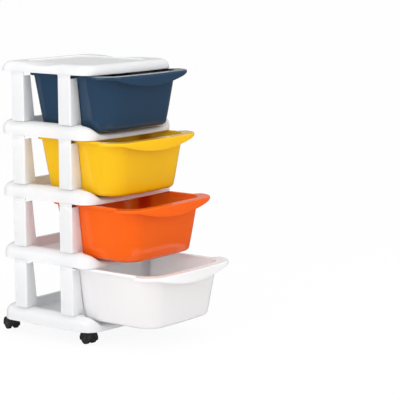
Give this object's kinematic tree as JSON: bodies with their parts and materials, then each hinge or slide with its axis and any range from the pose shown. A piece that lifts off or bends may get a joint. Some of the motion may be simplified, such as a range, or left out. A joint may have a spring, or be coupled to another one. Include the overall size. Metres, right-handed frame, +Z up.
{
  "type": "plastic drawer tower",
  "caption": "Rolling plastic drawer tower: stacked tray frames on corner posts carry tub drawers that slide on their rims, on twin-wheel swivel casters.",
  "frame": {"origin": "on the floor, at the middle of the tower's width and on the line that its shelf plan is drawn round, 170 mm behind the front corners and 173 mm in front of the rear edge", "axes": "+Z up, -Y towards the drawer fronts, +X to the right as seen from the front"},
  "size_m": [0.39, 0.5953, 0.787],
  "materials": {
    "frame_white": "satin gloss moulded polypropylene",
    "drawer_navy": "glossy moulded polypropylene",
    "drawer_yellow": "glossy moulded polypropylene",
    "drawer_orange": "glossy moulded polypropylene",
    "drawer_white": "glossy moulded polypropylene",
    "caster_black": "satin moulded nylon",
    "wheel_black": "satin moulded nylon with a worn tread",
    "caster_steel": "zinc plated"
  },
  "bodies": {
    "tower_frame": {"top_panel": "frame_white", "shelf_frame_1": "frame_white", "shelf_frame_2": "frame_white", "shelf_frame_3": "frame_white", "base_frame": "frame_white", "post_1_front_left": "frame_white", "post_1_front_right": "frame_white", "post_1_rear_left": "frame_white", "post_1_rear_right": "frame_white", "post_2_front_left": "frame_white", "post_2_front_right": "frame_white", "post_2_rear_left": "frame_white", "post_2_rear_right": "frame_white", "post_3_front_left": "frame_white", "post_3_front_right": "frame_white", "post_3_rear_left": "frame_white", "post_3_rear_right": "frame_white", "post_4_front_left": "frame_white", "post_4_front_right": "frame_white", "post_4_rear_left": "frame_white", "post_4_rear_right": "frame_white", "caster_stem_front_left": "caster_steel", "caster_stem_front_right": "caster_steel", "caster_stem_rear_left": "caster_steel", "caster_stem_rear_right": "caster_steel"},
    "drawer_navy_body": {"drawer_navy": "drawer_navy"},
    "drawer_yellow_body": {"drawer_yellow": "drawer_yellow"},
    "drawer_orange_body": {"drawer_orange": "drawer_orange"},
    "drawer_white_body": {"drawer_white": "drawer_white"},
    "caster_front_left": {"caster_housing_front_left": "caster_black", "caster_axle_front_left": "caster_steel"},
    "wheel_front_left_a": {"caster_wheel_front_left_a": "wheel_black"},
    "wheel_front_left_b": {"caster_wheel_front_left_b": "wheel_black"},
    "caster_front_right": {"caster_housing_front_right": "caster_black", "caster_axle_front_right": "caster_steel"},
    "wheel_front_right_a": {"caster_wheel_front_right_a": "wheel_black"},
    "wheel_front_right_b": {"caster_wheel_front_right_b": "wheel_black"},
    "caster_rear_left": {"caster_housing_rear_left": "caster_black", "caster_axle_rear_left": "caster_steel"},
    "wheel_rear_left_a": {"caster_wheel_rear_left_a": "wheel_black"},
    "wheel_rear_left_b": {"caster_wheel_rear_left_b": "wheel_black"},
    "caster_rear_right": {"caster_housing_rear_right": "caster_black", "caster_axle_rear_right": "caster_steel"},
    "wheel_rear_right_a": {"caster_wheel_rear_right_a": "wheel_black"},
    "wheel_rear_right_b": {"caster_wheel_rear_right_b": "wheel_black"}
  },
  "joints": [
    {"name": "drawer_navy_slide", "type": "slide", "parent": "tower_frame", "child": "drawer_navy_body", "axis": [0, -1, 0], "range_m": [-0.073, 0.162]},
    {"name": "drawer_yellow_slide", "type": "slide", "parent": "tower_frame", "child": "drawer_yellow_body", "axis": [0, -1, 0], "range_m": [-0.0995, 0.1355]},
    {"name": "drawer_orange_slide", "type": "slide", "parent": "tower_frame", "child": "drawer_orange_body", "axis": [0, -1, 0], "range_m": [-0.156, 0.079]},
    {"name": "drawer_white_slide", "type": "slide", "parent": "tower_frame", "child": "drawer_white_body", "axis": [0, -1, 0], "range_m": [-0.2225, 0.0125]},
    {"name": "caster_swivel_front_left", "type": "hinge", "parent": "tower_frame", "child": "caster_front_left", "pos_m": [-0.156, -0.146, 0.03], "axis": [0, 0, 1], "continuous": true},
    {"name": "wheel_spin_front_left_a", "type": "hinge", "parent": "caster_front_left", "child": "wheel_front_left_a", "pos_m": [-0.1534, -0.13123, 0.017], "axis": [-0.9848, 0.1736, 0], "continuous": true},
    {"name": "wheel_spin_front_left_b", "type": "hinge", "parent": "caster_front_left", "child": "wheel_front_left_b", "pos_m": [-0.1534, -0.13123, 0.017], "axis": [-0.9848, 0.1736, 0], "continuous": true},
    {"name": "caster_swivel_front_right", "type": "hinge", "parent": "tower_frame", "child": "caster_front_right", "pos_m": [0.156, -0.146, 0.03], "axis": [0, 0, 1], "continuous": true},
    {"name": "wheel_spin_front_right_a", "type": "hinge", "parent": "caster_front_right", "child": "wheel_front_right_a", "pos_m": [0.15417, -0.13111, 0.017], "axis": [-0.9925, -0.1219, 0], "continuous": true},
    {"name": "wheel_spin_front_right_b", "type": "hinge", "parent": "caster_front_right", "child": "wheel_front_right_b", "pos_m": [0.15417, -0.13111, 0.017], "axis": [-0.9925, -0.1219, 0], "continuous": true},
    {"name": "caster_swivel_rear_left", "type": "hinge", "parent": "tower_frame", "child": "caster_rear_left", "pos_m": [-0.156, 0.156, 0.03], "axis": [0, 0, 1], "continuous": true},
    {"name": "wheel_spin_rear_left_a", "type": "hinge", "parent": "caster_rear_left", "child": "wheel_rear_left_a", "pos_m": [-0.15038, 0.16991, 0.017], "axis": [-0.9272, 0.3746, 0], "continuous": true},
    {"name": "wheel_spin_rear_left_b", "type": "hinge", "parent": "caster_rear_left", "child": "wheel_rear_left_b", "pos_m": [-0.15038, 0.16991, 0.017], "axis": [-0.9272, 0.3746, 0], "continuous": true},
    {"name": "caster_swivel_rear_right", "type": "hinge", "parent": "tower_frame", "child": "caster_rear_right", "pos_m": [0.156, 0.156, 0.03], "axis": [0, 0, 1], "continuous": true},
    {"name": "wheel_spin_rear_right_a", "type": "hinge", "parent": "caster_rear_right", "child": "wheel_rear_right_a", "pos_m": [0.15237, 0.17055, 0.017], "axis": [-0.9703, -0.2419, 0], "continuous": true},
    {"name": "wheel_spin_rear_right_b", "type": "hinge", "parent": "caster_rear_right", "child": "wheel_rear_right_b", "pos_m": [0.15237, 0.17055, 0.017], "axis": [-0.9703, -0.2419, 0], "continuous": true}
  ]
}
